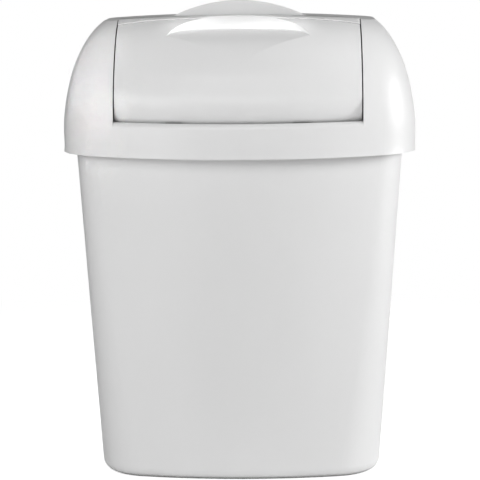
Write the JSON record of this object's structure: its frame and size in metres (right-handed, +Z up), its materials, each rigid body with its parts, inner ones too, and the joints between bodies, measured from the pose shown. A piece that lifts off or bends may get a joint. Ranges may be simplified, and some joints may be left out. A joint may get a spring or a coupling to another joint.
{
  "type": "sanitary bin",
  "caption": "White plastic sanitary bin: a tapered bucket with a lift-off hood and a spring-closed flap that swings inwards on two pins.",
  "frame": {"origin": "on the floor under the middle of the bin's bounding box", "axes": "+Z up, -Y towards the front with the flap, +X to the right seen from the front"},
  "size_m": [0.276, 0.165, 0.3715],
  "materials": {
    "hood_plastic": "white, satin",
    "flap_plastic": "white, satin",
    "liner_plastic": "white, fine matt",
    "bucket_plastic": "white, satin",
    "ring_plastic": "white, fine matt",
    "bush_plastic": "natural acetal",
    "pin_plastic": "natural acetal",
    "spring_steel": "drawn spring wire",
    "retainer_steel": "zinc plated",
    "screw_steel": "zinc plated",
    "pad_rubber": "soft, matt"
  },
  "bodies": {
    "bucket": {"bucket": "bucket_plastic", "bag_ring": "ring_plastic"},
    "hood": {"hood": "hood_plastic", "hinge_bush_left": "bush_plastic", "hinge_bush_right": "bush_plastic", "return_spring": "spring_steel", "stop_pad_left": "pad_rubber", "stop_pad_right": "pad_rubber"},
    "flap": {"swing_flap": "flap_plastic", "flap_liner": "liner_plastic", "hinge_pin_left": "pin_plastic", "hinge_pin_right": "pin_plastic", "spring_retainer": "retainer_steel", "liner_screws": "screw_steel"}
  },
  "joints": [
    {"name": "hood_lift", "type": "slide", "parent": "bucket", "child": "hood", "axis": [0, 0, 1], "range_m": [0, 0.12]},
    {"name": "flap_swing", "type": "hinge", "parent": "hood", "child": "flap", "pos_m": [0, -0.022, 0.322], "axis": [1, 0, 0], "range_deg": [0, 65], "stiffness_Nm_per_rad": 0.02, "springref_deg": -68.75}
  ]
}
